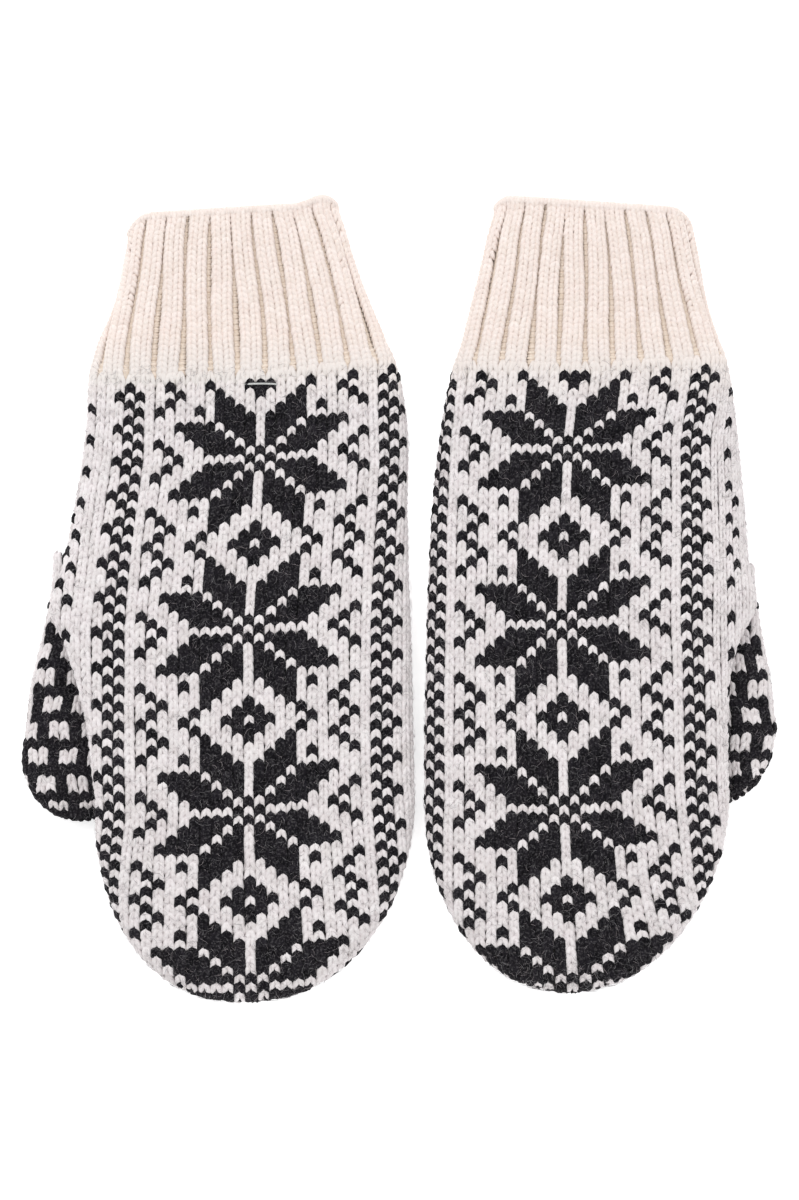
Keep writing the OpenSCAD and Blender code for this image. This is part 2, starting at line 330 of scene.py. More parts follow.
class Sheet:
    """One face of a form as a table over y and the arc length q from a line along it."""

    def __init__(self, form, line, face, y_to):
        self.step, self.q_step, self.q_reach = 1.0, 0.5, 78.0
        self.y0 = form.tip_y + YARN + 0.2
        ys = np.arange(self.y0, y_to, self.step)
        qs = np.arange(-self.q_reach, self.q_reach + 0.1, self.q_step)
        self.place = np.zeros((len(ys), len(qs), 3))
        self.arc = np.zeros((len(ys), 2))
        ease = 1 - (1 - np.linspace(0, 1, 60)) ** 2.2
        middle = line(ys)
        for way in (-1, 1):
            edge = form.edge(ys, YARN, way)
            u = middle[:, None] + (edge - middle)[:, None] * ease
            y = np.broadcast_to(ys[:, None], u.shape)
            near = form.z(u, y, face, YARN)
            far = form.z(u, y, -face, YARN)
            around_u = np.concatenate([u, u[:, -2::-1]], 1)
            around_z = np.concatenate([near, far[:, -2::-1]], 1)
            length = np.hypot(np.diff(around_u, axis=1), np.diff(around_z, axis=1)).cumsum(1)
            length = np.concatenate([np.zeros((len(ys), 1)), length], 1)
            self.arc[:, (way + 1) // 2] = length[:, len(ease) - 1]
            side = qs * way >= 0
            for j in range(len(ys)):
                self.place[j, side, 0] = np.interp(np.abs(qs[side]), length[j], around_u[j])
                self.place[j, side, 2] = np.interp(np.abs(qs[side]), length[j], around_z[j])
                self.place[j, :, 1] = ys[j]
        across = np.gradient(self.place, axis=1)
        along = np.gradient(self.place, axis=0)
        self.normal = unit(np.cross(across, along) * face)

    def look_up(self, table, y, q):
        ny, nq = table.shape[:2]
        fy = np.clip((y - self.y0) / self.step, 0, ny - 1.001)
        fq = np.clip((q + self.q_reach) / self.q_step, 0, nq - 1.001)
        j, k = fy.astype(int), fq.astype(int)
        ty, tq = (fy - j)[..., None], (fq - k)[..., None]
        low = table[j, k] * (1 - tq) + table[j, k + 1] * tq
        high = table[j + 1, k] * (1 - tq) + table[j + 1, k + 1] * tq
        return low * (1 - ty) + high * ty

    def at(self, y, q):
        return self.look_up(self.place, y, q), self.look_up(self.normal, y, q)

    def arcs(self, y):
        """Arc lengths from the line to the inner and outer edges."""
        f = np.clip((y - self.y0) / self.step, 0, len(self.arc) - 1.001)
        j = f.astype(int)
        t = f - j
        return [self.arc[j, k] * (1 - t) + self.arc[j + 1, k] * t for k in (0, 1)]


# ---- stitches

def unit(v):
    return v / np.maximum(np.linalg.norm(v, axis=-1, keepdims=True), 1e-9)


class Yarn:
    """Limbs of yarn that are gathered and then made into one mesh."""

    def __init__(self):
        self.parts = []

    def add(self, centre, normal, width, height, tone, girth=GIRTH):
        """centre and normal are (limbs, stations, 3); the rest is one for all or one per limb or ring."""
        width, height, tone = [np.broadcast_to(v, len(centre)) for v in (width, height, tone)]
        girth = np.broadcast_to(girth, centre.shape[1] - 2)
        self.parts.append((centre, normal, width, height, tone, girth))

    def build(self, name, side, sides, material):
        points, tones, blocks = [], [], []
        first = made = 0
        turn = (np.arange(sides) * 2 * math.pi / sides)[:, None]
        for centre, normal, width, height, tone, girth in self.parts:
            n, rings = len(centre), centre.shape[1] - 2
            along = unit(np.gradient(centre, axis=1))
            across = unit(np.cross(normal, along))
            out = np.cross(along, across)
            w = (width[:, None] * girth)[..., None, None]
            h = (height[:, None] * girth)[..., None, None]
            ring = centre[:, 1:-1, None] + across[:, 1:-1, None] * w * np.cos(turn)
            ring = ring + out[:, 1:-1, None] * h * np.sin(turn)
            limbs = np.concatenate([centre[:, :1], ring.reshape(n, -1, 3), centre[:, -1:]], 1)
            points.append(limbs.reshape(-1, 3))
            per = limbs.shape[1]
            tones.append(np.repeat(tone, per))
            offsets = (first + np.arange(n) * per)[:, None, None]
            for faces, uvs in limb_faces(rings, sides, side):
                blocks.append((offsets + faces, uvs, made + np.arange(n)))
            first += n * per
            made += n
        points = np.concatenate(points) * MM
        points[:, 0] *= side
        return yarn_mesh(name, points, np.concatenate(tones), blocks, math.ceil(math.sqrt(made)), material)


def limb_faces(rings, sides, side):
    """Quads and then triangles of one limb, with the place of each corner as (around, along)."""
    quads, tris = [], []
    last = rings * sides + 1
    end = last - sides
    for j in range(sides):
        k = (j + 1) % sides
        a, b = j / sides, (j + 1) / sides
        middle = (a + b) / 2
        tris.append(((0, 1 + k, 1 + j), ((middle, 0), (b, CAP), (a, CAP))))
        tris.append(((end + j, end + k, last), ((a, 1 - CAP), (b, 1 - CAP), (middle, 1))))
        for i in range(rings - 1):
            at, after = 1 + i * sides, 1 + (i + 1) * sides
            v, w = [CAP + (1 - 2 * CAP) * station / (rings - 1) for station in (i, i + 1)]
            quads.append(((at + j, at + k, after + k, after + j), ((a, v), (b, v), (b, w), (a, w))))
    return [[np.array(part)[:, ::side] for part in zip(*group)] for group in (quads, tris)]


def add_object(name, data):
    made = bpy.data.objects.new(name, data)
    bpy.context.scene.collection.objects.link(made)
    return made


def yarn_mesh(name, points, tones, blocks, grid, material):
    """One mesh from blocks of faces, in which each limb has a cell of its own on the bake's grid."""
    index, starts, yarn_uv, bake_uv = [], [], [], []
    at = 0
    for faces, uv, cell in blocks:
        corner = np.stack([cell % grid, cell // grid], 1)[:, None, None, :]
        count, size = faces.shape[0] * faces.shape[1], faces.shape[2]
        index.append(faces.ravel())
        starts.append(at + np.arange(count) * size)
        at += count * size
        yarn_uv.append((uv + corner * np.array([0.37, 0.61])).reshape(-1, 2))
        bake_uv.append(((corner + 0.06 + 0.88 * uv) / grid).reshape(-1, 2))
    index = np.concatenate(index).astype(np.int32)
    starts = np.concatenate(starts).astype(np.int32)
    mesh = bpy.data.meshes.new(name)
    mesh.vertices.add(len(points))
    mesh.vertices.foreach_set("co", points.astype(np.float32).ravel())
    mesh.loops.add(len(index))
    mesh.loops.foreach_set("vertex_index", index)
    mesh.polygons.add(len(starts))
    mesh.polygons.foreach_set("loop_start", starts)
    mesh.update(calc_edges=True)
    mesh.polygons.foreach_set("use_smooth", np.ones(len(starts), bool))
    for layer, values in (("OFBake", bake_uv), ("Yarn", yarn_uv)):
        uv = mesh.uv_layers.new(name=layer)
        uv.data.foreach_set("uv", np.concatenate(values).astype(np.float32).ravel())
    tone = mesh.attributes.new("tone", "FLOAT", "POINT")
    tone.data.foreach_set("value", tones.astype(np.float32))
    mesh.materials.append(material)
    return add_object(name, mesh)


def add_stitches(yarn, place, wale, rng, fat=1.0, proud=0.0):
    """Both limbs of each stitch, and the part of its loop that closes the fabric behind them, painted a
    little darker as shade.

    place(across, along), in mm and rows, gives points and normals.
    """
    n = len(wale)
    shift = rng.normal(0, UNEVEN, (n, 2))
    twist = rng.normal(0, UNEVEN, n)
    width = wale * LIMB_WIDTH * fat * (1 + rng.normal(0, WIDTH_UNEVEN, n))
    tone = rng.normal(0, 1, n)
    spread = FOOT + (HEAD - FOOT) * (1 - (1 - np.clip(STATIONS, 0, 1)) ** 1.5)
    along = LIMB_START + LIMB_ROWS * STATIONS + shift[:, 1:] * 1.2
    for way in (-1, 1):
        across = (way * spread + shift[:, :1] + twist[:, None] * (STATIONS - 0.5)) * wale[:, None]
        points, normals = place(across, along)
        centre = points + normals * (RISE[:, None] * YARN + proud)
        yarn.add(centre, normals, width, YARN * LIMB_HEIGHT, tone + rng.normal(0, 0.5, n))
    along = BACK_STATIONS + np.zeros((n, 1))
    points, normals = place(0 * along, along)
    centre = points - normals * YARN * BACK_DEPTH
    # The loop behind is the same yarn, given a lower tone and so painted darker: painted shade where it
    # lies sunk between the limbs.
    tone = rng.normal(-1.0, 0.5, n)
    yarn.add(centre, normals, wale * BACK_WIDTH, YARN * BACK_HEIGHT, tone, BACK_GIRTH)


def star_chart(c, r):
    """True where the back of the hand is black, at column c and row r."""
    c = np.abs(c)
    k = np.abs((r + 10) % 20 - 10)
    level = (k >= 1) & (k <= 4) & (c >= k + 1) & (c <= k + 4)
    upright = (c >= 1) & (c <= 4) & (k >= c + 1) & (k <= c + 4)
    black = level | upright
    spots = [
        (1, 0), (0, 1), (6, 6), (5, 9), (6, 10), (0, 8), (0, 9), (1, 9), (1, 10), (2, 10),
        (8, 0), (9, 1), (10, 2), (10, 6), (9, 7), (8, 8), (9, 9), (10, 10),
    ]
    for column, row in spots:
        black |= (c == column) & (k == row)
    for column, rows, row in ((12, 2, 0), (13, 2, 1), (14, 4, 0), (17, 4, 2)):
        black |= (c == column) & (r % rows == row)
    black |= (c == 18) & (r % 4 == 0) & (r >= 6) & (r <= 18)
    return black & (r > FIRST_ROW) & ((c < SIDE_COLUMN) | (r <= ZIGZAG_END))


def palm_chart(c, r):
    """True where the palm and the thumb are black: pairs of light stitches in a dark net."""
    shifted = c + np.floor_divide(r, 3)
    return ((shifted % 3 == 0) | (r % 3 == 0)) & (r > FIRST_ROW)


# ---- the pieces of one mitten

class Mitten:
    def __init__(self, facts):
        self.__dict__.update(facts)
        tip_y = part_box(f"{self.name}_tip_closure")[0].y / MM
        thumb_tip_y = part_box(f"{self.name}_thumb_closure")[0].y / MM
        stations = [[y, (a + b) / 2, (b - a) / 2] for y, a, b in self.edges]
        self.form = Hand(stations, ROUND_Y, tip_y, self.tip_middle, self.power, HAND_ROLL)
        self.thumb_form = Thumb(self.thumb, self.thumb[0][0], thumb_tip_y, None, 2.0, THUMB_ROLL)
        self.rows = np.array(self.rows, float)
        self.back = Sheet(self.form, self.pattern_line, 1, HAND_END)
        self.palm = Sheet(self.form, self.form.middle, -1, HAND_END)
        self.thumb_top = Sheet(self.thumb_form, self.thumb_form.middle, 1, THUMB_END)
        self.thumb_low = Sheet(self.thumb_form, self.thumb_form.middle, -1, THUMB_END)
        self.rng = np.random.default_rng(SEED + self.side)
        self.wander = self.rng.uniform(0, 2 * math.pi, (2, 100))

    def pattern_line(self, y):
        return np.interp(-y, -self.rows[:, 1], self.rows[:, 2])

    def row_y(self, r):
        """Height on the hand of row r at the pattern's line."""
        beyond = r - np.clip(r, self.rows[0, 0], self.rows[-1, 0])
        return np.interp(r, self.rows[:, 0], self.rows[:, 1]) - beyond * ROW

    def at_row(self, r, *columns):
        return [np.interp(r, self.rows[:, 0], self.rows[:, k]) for k in columns]

    def row_rise(self, r, q):
        """How much higher than at the pattern's line row r lies at q."""
        tilt, inner, outer, fold = self.at_row(r, 3, 4, 5, 6)
        x = np.clip(q / SPAN, -1.5, 1.5)
        beyond = np.clip((q - FOLD_FROM) / FOLD_WIDTH, 0, 1.2)
        return tilt * x + np.where(x < 0, inner, outer) * np.abs(x) ** 1.5 + fold * beyond ** 1.3

    def column_q(self, c, r):
        """Arc length from the pattern's line to column c, where the side's stitches are narrower."""
        inner, outer = self.at_row(r, 7, 8)
        plain = np.minimum(c, NARROW_COLUMN)
        return (plain + (c - plain) * self.side_wales) * np.where(c < 0, inner, outer)

    def wale_width(self, c, r):
        return self.column_q(c + 0.5, r) - self.column_q(c - 0.5, r)

    def hand_place(self, sheet, c, r):
        """Stitch by stitch, wales and rows wander a little."""
        sway = 0.2 * np.sin(0.33 * r + self.wander[0, c + 40])
        heave = 0.22 * np.sin(0.41 * c + self.wander[1, r + 20])

        def place(across, along):
            row = r[:, None] + along
            q = self.column_q(c[:, None], row) + across + sway[:, None]
            y = self.row_y(row) + self.row_rise(row, q) + heave[:, None]
            inner, outer = sheet.arcs(y)
            return sheet.at(y, np.clip(q, -inner - OVER_EDGE, outer + OVER_EDGE))
        return place

    def mouth_y(self, u):
        """The mouth's line: tilted, with rounded corners, and lifted at its inner corner."""
        middle, half = self.form.middle(np.array(MOUTH_Y)), self.form.half(np.array(MOUTH_Y))
        corner = np.clip((np.abs(u - middle) - half + CORNER) / CORNER, 0, 1)
        drop = CORNER * (1 - np.sqrt(1 - corner ** 2 * 0.98))
        return self.mouth - self.tilt * (u - middle) + self.corner * smooth(*INNER_CORNER, u) - drop

    def cuff_y(self, share, u):
        """Height at a share of the way up the cuff."""
        bottom = self.row_y(CUFF_FIRST_ROW) + self.row_rise(CUFF_FIRST_ROW, u - self.pattern_line(75.0))
        return bottom + (self.mouth_y(u) - RIM - bottom) * share

    def draw_in(self, points):
        """The cuff thins and narrows a little just below its edge."""
        near = smooth(*NEAR_MOUTH, points[..., 1])
        middle = self.form.middle(points[..., 1])
        out = points.copy()
        out[..., 0] = middle + (points[..., 0] - middle) * (1 - NARROWS * near ** 2)
        out[..., 2] = HAND_T / 2 + (points[..., 2] - HAND_T / 2) * (1 - THINS * near ** 2)
        return out


def hand_yarn(m):
    """Cream and black stitches of the back and of the palm, and the ivory row at the wrist."""
    yarns = {}
    for face, sheet in (("back", m.back), ("palm", m.palm)):
        c, r = grid(np.arange(-24, 25), np.arange(FIRST_ROW, LAST_ROW + 1))
        q = m.column_q(c, r)
        y = m.row_y(r) + m.row_rise(r, q)
        inner, outer = sheet.arcs(y)
        spare = PAST_EDGE if face == "back" else -PAST_EDGE - 0.5 * WALE
        keep = (q > -inner - spare) & (q < outer + spare) & (y > m.form.tip_y + 1.5)
        c, r = c[keep], r[keep]
        black = star_chart(c, r) if face == "back" else palm_chart(c, r)
        wrist = r == FIRST_ROW
        side = (np.abs(c) >= SIDE_COLUMN) & (face == "back")
        light = ~black & ~wrist
        masks = {"cream": light & ~side, "side": light & side, "black": black, "ivory": wrist}
        for name, mask in masks.items():
            if not mask.any():
                continue
            yarn = Yarn()
            place = m.hand_place(sheet, c[mask], r[mask])
            fat, proud = (BLACK_FAT, BLACK_PROUD) if name == "black" else (1.0, 0.0)
            add_stitches(yarn, place, m.wale_width(c[mask], r[mask]), m.rng, fat, proud)
            yarns[face, name] = yarn
    return yarns


def closing_loops(m, form, inset, shares, pitch, reach):
    """Loops that run over the outline from face to face and draw the end together."""
    yarn = Yarn()
    share = np.linspace(shares[0], shares[1], 200)
    depth = rounding(np.abs(share), form.power)
    y = form.round_y - depth * form.depth
    u = form.middle(y) + share * form.whole(y)
    length = np.concatenate([[0], np.hypot(np.diff(u), np.diff(y)).cumsum()])
    at = np.arange(0.5 * pitch, length[-1], pitch)
    u, y = np.interp(at, length, u), np.interp(at, length, y)
    inward = unit(np.stack([-np.gradient(y), np.gradient(u), 0 * u], -1))
    inward = (inward * np.where(inward[:, 1:2] < 0, -1, 1))[:, None]
    low, high = form.low_high(u, y)
    angle = np.linspace(-0.75, 0.75, 9)[:, None] * math.pi
    up = np.array([0, 0, 1])
    middle = np.stack([u, y, (low + high) / 2], -1)[:, None]
    half = ((high - low) / 2 * 0.62)[:, None, None]
    points = middle + inward * (inset + reach * (1 - np.cos(angle)) * 0.5) + up * half * np.sin(angle)
    normal = unit(up * np.sin(angle) - inward * np.cos(angle))
    yarn.add(points, normal, pitch * 0.42, YARN, m.rng.normal(0, 1, len(at)), [0.8, 1, 1, 1, 1, 1, 0.8])
    return yarn


def left_below(upper, lower, y, first, last):
    """Ends on the lower sheet of what stitches from first to last on the upper one leave at y."""
    inner, outer = upper.arcs(y)
    low_inner, low_outer = lower.arcs(y)
    return -inner - first - low_inner, low_outer - (last - outer)


def rest_of_round(m, r, y, q):
    """The thumb's stitches underneath, spread evenly over what the rows on top leave of each round."""
    found = []
    for row in np.unique(r):
        here = r == row
        height, over = y[here][0], q[here]
        ends = left_below(m.thumb_top, m.thumb_low, np.array([height]), over.min(), over.max())
        first, last = ends[0][0] + THUMB_WALE, ends[1][0] - THUMB_WALE
        count = max(1, round((last - first) / THUMB_WALE) + 1)
        for number, at in enumerate(np.linspace(first, last, count)):
            found.append((number - count // 2, row, height, at))
    c, r, y, q = np.array(found).T
    return c.astype(int), r.astype(int), y, q


def thumb_yarn(m):
    """Stitches of the thumb, with a plain light wale down its outer edge."""
    yarns = {"cream": Yarn(), "black": Yarn()}
    form = m.thumb_form
    shift, top = m.thumb_shift[0], THUMB_TOP + m.thumb_shift[1]
    rows = int((top - form.tip_y) / ROW)
    c, r = grid(np.arange(-10, 10), np.arange(rows))
    q = c * THUMB_WALE + shift
    y = top - r * ROW
    inner, outer = m.thumb_top.arcs(y)
    keep = (q > -inner - THUMB_PAST_EDGE) & (q < outer + THUMB_PAST_EDGE) & (y > form.tip_y + 1.2)
    upper = [v[keep] for v in (c, r, y, q)]
    for sheet, cells in ((m.thumb_top, upper), (m.thumb_low, rest_of_round(m, *upper[1:]))):
        c, r, y, q = cells
        outer = sheet.arcs(y)[1]
        plain = (q > outer - 1.05 * THUMB_WALE) & (y > PLAIN_END) & (sheet is m.thumb_top)
        black = (palm_chart(c, r) & ~plain) | (y < form.tip_y + BLACK_TIP)
        for name, mask in (("cream", ~black), ("black", black)):
            qm, ym = q[mask], y[mask]

            def place(across, along, qm=qm, ym=ym, sheet=sheet):
                at = ym[:, None] - along * ROW + 0.45 * np.sin(0.5 * qm[:, None] + 0.23 * ym[:, None])
                inner, outer = sheet.arcs(at)
                sway = 0.5 * np.sin(0.31 * at + 0.2 * qm[:, None])
                q = qm[:, None] + across + sway
                return sheet.at(at, np.clip(q, -inner - THUMB_OVER_EDGE, outer + THUMB_OVER_EDGE))
            fat, proud = (BLACK_FAT + 0.12, 0.3) if name == "black" else (0.96, 0.0)
            add_stitches(yarns[name], place, np.full(mask.sum(), THUMB_WALE), m.rng, fat, proud)
    return yarns


def picked_up_round(m):
    """Ring of slanting loops where the thumb's stitches were picked up."""
    yarn = Yarn()
    for sheet in (m.thumb_top, m.thumb_low):
        inner, outer = sheet.arcs(np.array([ROOT_Y]))
        q = np.arange(-inner[0] - 1, outer[0] + 1, 1.75)
        t = np.linspace(-1, 1, 7)
        points, normals = sheet.at(ROOT_Y + 1.3 * t + 0 * q[:, None], q[:, None] + 0.9 * t)
        centre = points + normals * (0.55 * YARN + 0.35 * (1 - t ** 2))[..., None]
        yarn.add(centre, normals, 0.8, 0.7, m.rng.normal(0, 1, len(q)), [0.85, 1, 1, 1, 0.85])
    return yarn


def rib_line(m, face, y):
    """Arc length at which rib 0 starts, and a rib's width; the palm's ribs fill what the back's leave."""
    top_u, low_u, top_pitch, low_pitch = m.ribs
    share = np.clip((y - FAN_FROM) / FAN_LENGTH, 0, 1)
    narrowing = 0.35 * share + 0.65 * smooth(-0.15, 1.15, share)
    start = low_u + (top_u - low_u) * share - m.pattern_line(y)
    pitch = low_pitch + (top_pitch - low_pitch) * narrowing
    if face < 0:
        first, last, under = m.rib_numbers
        ends = start + first * pitch, start + (last + 1) * pitch
        start, end = left_below(m.back, m.palm, y, *ends)
        pitch = (end - start) / under
    return start, pitch


def cuff_place(m, face, rib, offset, w):
    """Points of the cuff: a rib's number, the offset from its start and the share of the height."""
    sheet = m.back if face > 0 else m.palm

    def place(across, along):
        share = w[:, None] - along / CUFF_ROWS
        y = GUESS_FROM + share * GUESS_LENGTH
        for _ in range(3):
            start, pitch = rib_line(m, face, y)
            sway = 0.35 * np.sin(y / 8 + m.wander[0, rib + 40][:, None])
            q = start + rib[:, None] * pitch + offset[:, None] + across + sway
            u = sheet.at(y, q)[0][..., 0]
            y = m.cuff_y(share, u)
        points, normals = sheet.at(y, q)
        return m.draw_in(points), normals
    return place


def rib_yarn(m, knit):
    """Two plain wales and one sunk purl wale, over and over, round the cuff."""
    purl = Yarn()
    first, last, under = m.rib_numbers
    for face, ribs in ((1, np.arange(first, last + 1)), (-1, np.arange(under))):
        rib, row = grid(ribs, np.arange(CUFF_ROWS + 1))
        w = row / CUFF_ROWS
        pitch = rib_line(m, face, PITCH_FROM + w * FAN_LENGTH)[1]
        relief = smooth(0.03, 0.13, w) * smooth(1.04, 0.95, w)
        valley = (1.15 - 0.72 * w ** 0.7) * (0.5 + 0.5 * smooth(1.02, 0.9, w))
        wale = (pitch - 2 * valley) / 2
        for which in (0, 1):
            lean = 1 if which else -1
            base = cuff_place(m, face, rib, valley + wale * (0.5 + which), w)

            def place(across, along, base=base, wale=wale, lean=lean, relief=relief):
                points, normals = base(across, along)
                toward = np.clip(0.5 + lean * across / wale[:, None], 0, 1.2)
                down = (1.2 * toward ** 2 + 0.1) * relief[:, None]
                return points - normals * down[..., None], normals
            add_stitches(knit[face], place, wale, m.rng, 1.08)
        base = cuff_place(m, face, rib + (face < 0), 0 * w, w)
        purl_bumps(m, purl, base, valley, relief)
    return purl


def purl_bumps(m, yarn, base, valley, relief):
    """Two short bars of yarn across each sunk stitch."""
    n = len(valley)
    for lift in (0.0, 0.5):
        t = np.array([-1.06, -0.85, -0.4, 0.0, 0.4, 0.85, 1.06])
        across = t * (valley[:, None] + 0.75)
        along = lift + 0.06 * (1 - t ** 2) * (1 if lift else -1) + np.zeros((n, 1))
        points, normals = base(across, along)
        sink = VALLEY_SINK * (0.25 + 0.75 * relief[:, None]) + 0.5 * t ** 2
        centre = points - normals * sink[..., None]
        yarn.add(centre, normals, 0.72, 0.5, m.rng.normal(0, 1, n))


def rim_yarn(m):
    """The cast-on edge: slanting loops laid over a round lip all the way about the mouth."""
    yarn = Yarn()
    for face, sheet in ((1, m.back), (-1, m.palm)):
        inner, outer = sheet.arcs(np.array([LIP_Y]))

        def lip(q):
            y = LIP_Y + 0 * q
            for _ in range(3):
                y = m.mouth_y(sheet.at(y, q)[0][..., 0]) - RIM
            return y
        spare = 1 if face > 0 else -2
        q = np.linspace(-inner[0] - spare, outer[0] + spare, 400)
        steps = np.linalg.norm(np.diff(sheet.at(lip(q), q)[0], axis=0), axis=1)
        length = np.concatenate([[0], steps.cumsum()])
        q = np.interp(np.arange(0, length[-1], RIM_PITCH), length, q)
        turn = np.linspace(-0.35, 1.2, 7)[:, None] * math.pi
        slant = q[:, None] + 0.7 * np.linspace(-1, 1, 7)
        points, normals = sheet.at(lip(slant), slant)
        forward = np.array([0.0, 1.0, 0.0])
        radius = RIM - 0.6
        centre = m.draw_in(points) + normals * (YARN - RIM + 0.2 + radius * np.cos(turn))
        centre = centre + forward * (radius * np.sin(turn))
        out = unit(normals * np.cos(turn) + forward * np.sin(turn))
        yarn.add(centre, out, 0.9, 0.9 * 0.85, m.rng.normal(0, 1, len(q)), [0.9, 1, 1, 1, 0.9])
    return yarn


def loose_end(m):
    """Tail of two twisted plies left inside the cuff."""
    low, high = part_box(f"{m.name}_yarn_end")
    u, z = m.side * (low.x + high.x) / 2 / MM, (low.z + high.z) / 2 / MM
    y = np.linspace(low.y / MM + 1.2, high.y / MM - 1.2, 62)
    radius = 0.5
    yarn = Yarn()
    for ply in (0, math.pi):
        turn = y * 1.3 + ply
        way_u, way_z = np.cos(turn), np.sin(turn)
        points = np.stack([u + radius * way_u + 0.3 * np.sin(y / 6), y, z + radius * way_z], -1)
        normal = np.stack([way_u, 0 * y, way_z], -1)
        yarn.add(points[None], normal[None], 0.6, 0.6, m.rng.normal(0, 1, 1), 1)
    return yarn


def label_thread(m):
    """Running stitch that holds the label and shows on the back of the hand."""
    low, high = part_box(f"{m.name}_label_stitches")
    yarn = Yarn()
    u = np.linspace(-high.x / MM + 0.3, -low.x / MM + 1.2, 9)
    u = np.concatenate([u[:1], u, u[-1:]])
    y = np.full(len(u), low.y / MM - 0.5) + 0.3 * np.cos(np.linspace(-1.6, 1.6, len(u)))
    lift = np.array([-3.6, 0.6, 1.2, 1.3, 1.25, 1.3, 1.25, 1.3, 1.2, 0.6, -3.6])
    points, normals = m.back.at(y, u - m.pattern_line(y))
    centre = points + normals * lift[:, None]
    yarn.add(centre[None], normals[None], 0.32, 0.3, 0, 1)
    return yarn


def stray_hairs(m, sheet, count, y_from, y_to):
    """Fine hairs that stand off the wool at random."""
    rng = m.rng
    y = rng.uniform(y_from, y_to, count)
    inner, outer = sheet.arcs(y)
    q = -inner - 2 + (inner + outer + 4) * rng.uniform(0, 1, count)
    angle, length = rng.uniform(0, 2 * math.pi, count), rng.uniform(1.0, 3.6, count)
    curl = rng.normal(0, 0.6, count)
    t = np.linspace(0, 1, 6)
    heading = angle[:, None] + curl[:, None] * t
    along_q = q[:, None] + length[:, None] * t * np.cos(heading)
    along_y = y[:, None] + length[:, None] * t * np.sin(heading)
    lift = HAIR_FOOT + rng.uniform(0.05, 0.7, count)[:, None] * np.sin(math.pi * (0.1 + 0.75 * t))
    points, normals = sheet.at(along_y, along_q)
    centre = points + normals * lift[..., None]
    size = HAIR * rng.uniform(0.7, 1.3, count)
    return centre, normals, size, size, rng.normal(0, 1, count), [1, 1, 0.9, 0.7]


def hair_yarn(m):
    """Light hairs over everything, and dark ones shed by the black stitches, on the hand and thumb."""
    tip, thumb_tip = m.form.tip_y + 2, m.thumb_form.tip_y + 2
    hairs = {}
    for tint, share in (("light_hair", 1.0), ("dark_hair", 0.4)):
        hand, thumb = hairs[tint] = Yarn(), Yarn()
        hand.add(*stray_hairs(m, m.back, int(HAIRS * share), tip, 78))
        hand.add(*stray_hairs(m, m.palm, int(HAIRS * share * 0.3), tip, 78))
        thumb.add(*stray_hairs(m, m.thumb_top, int(HAIRS * share * 0.14), thumb_tip, 0))
    return hairs


# ---- backing

def plain_mesh(name, points, faces, material, smooth_faces=False):
    mesh = bpy.data.meshes.new(name)
    mesh.from_pydata(points.tolist(), [], faces)
    mesh.update()
    mesh.polygons.foreach_set("use_smooth", np.full(len(mesh.polygons), smooth_faces))
    mesh.materials.append(material)
    return add_object(name, mesh)


def flat_levels(form, by_tip, onward):
    """Level heights: a few at the tip, in mm from it, and then the evenly spaced ones."""
    heights = np.concatenate([form.tip_y + YARN + np.array(by_tip), onward])
    return [lambda u, y=y: np.full(np.shape(u), y) for y in heights]


def loop_points(form, sheets, y_of, depth, count):
    """Points round the fabric, depth below the yarn's middle, at the heights that y_of(u) gives."""
    share = np.linspace(-1, 1, count)
    share = np.sign(share) * (1 - (1 - np.abs(share)) ** 1.6)
    halves = []
    for sheet in sheets:
        y = y_of(np.full(count, form.middle(np.array(60.0))))
        for _ in range(3):
            inner, outer = sheet.arcs(y)
            q = np.where(share < 0, share * inner, share * outer)
            u = sheet.at(y, q)[0][:, 0]
            y = y_of(u)
        points, normals = sheet.at(y, q)
        halves.append(points - normals * depth)
    top, low = halves
    return np.concatenate([top[:-1], low[::-1][:-1]])


def shell(name, m, form, sheets, levels, material, closed, count):
    """Fabric between two depths, open at the cuff end, and at the other end closed or open."""
    lower = levels[:1:-1] if closed else levels[::-1]
    rings = [loop_points(form, sheets, y_of, LINING[0], count) for y_of in levels]
    rings += [loop_points(form, sheets, y_of, LINING[1], count) for y_of in lower]
    rings = m.draw_in(np.array(rings))
    total, n = rings.shape[:2]
    points = rings.reshape(-1, 3) * MM
    points[:, 0] *= m.side
    number = np.arange(total * n).reshape(total, n)
    right = np.roll(number, -1, 1)
    faces = np.stack([number, right, np.roll(right, -1, 0), np.roll(number, -1, 0)], -1)
    faces = faces[:total - closed].reshape(-1, 4).tolist()
    if closed:
        faces += [number[0, ::-1].tolist(), number[-1].tolist()]
    return plain_mesh(name, points, [face[::-m.side] for face in faces], material, True)


def label_tape(m, material):
    """Blank woven tape with its ends turned under, sewn inside the back."""
    low, high = [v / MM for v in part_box(f"{m.name}_label")]
    across, along, margin = 23, 13, 0.15
    x, y = np.linspace(low.x, high.x, across), np.linspace(low.y, high.y, along)
    xs, ys = np.meshgrid(x, y, indexing="ij")
    sag = 0.12 * np.sin((xs - low.x) * 0.6) * np.sin((ys - low.y) * 0.5)
    sides = (high.z - margin + sag * 0.5, low.z + margin + sag * 0.5)
    points = np.concatenate([np.stack([xs, ys, z], -1).reshape(-1, 3) for z in sides]) * MM
    under = across * along
    number = np.arange(under).reshape(across, along)
    top = np.stack([number[:-1, :-1], number[1:, :-1], number[1:, 1:], number[:-1, 1:]], -1).reshape(-1, 4)
    faces = top.tolist() + (top[:, ::-1] + under).tolist()
    edge = [*number[0, :-1], *number[:-1, -1], *number[-1, :0:-1], *number[:0:-1, 0]]
    for a, b in zip(edge, edge[1:] + edge[:1]):
        faces.append([a, b, b + under, a + under])
    return plain_mesh(f"{m.name}_label_tape", points, faces, material)


# ---- materials

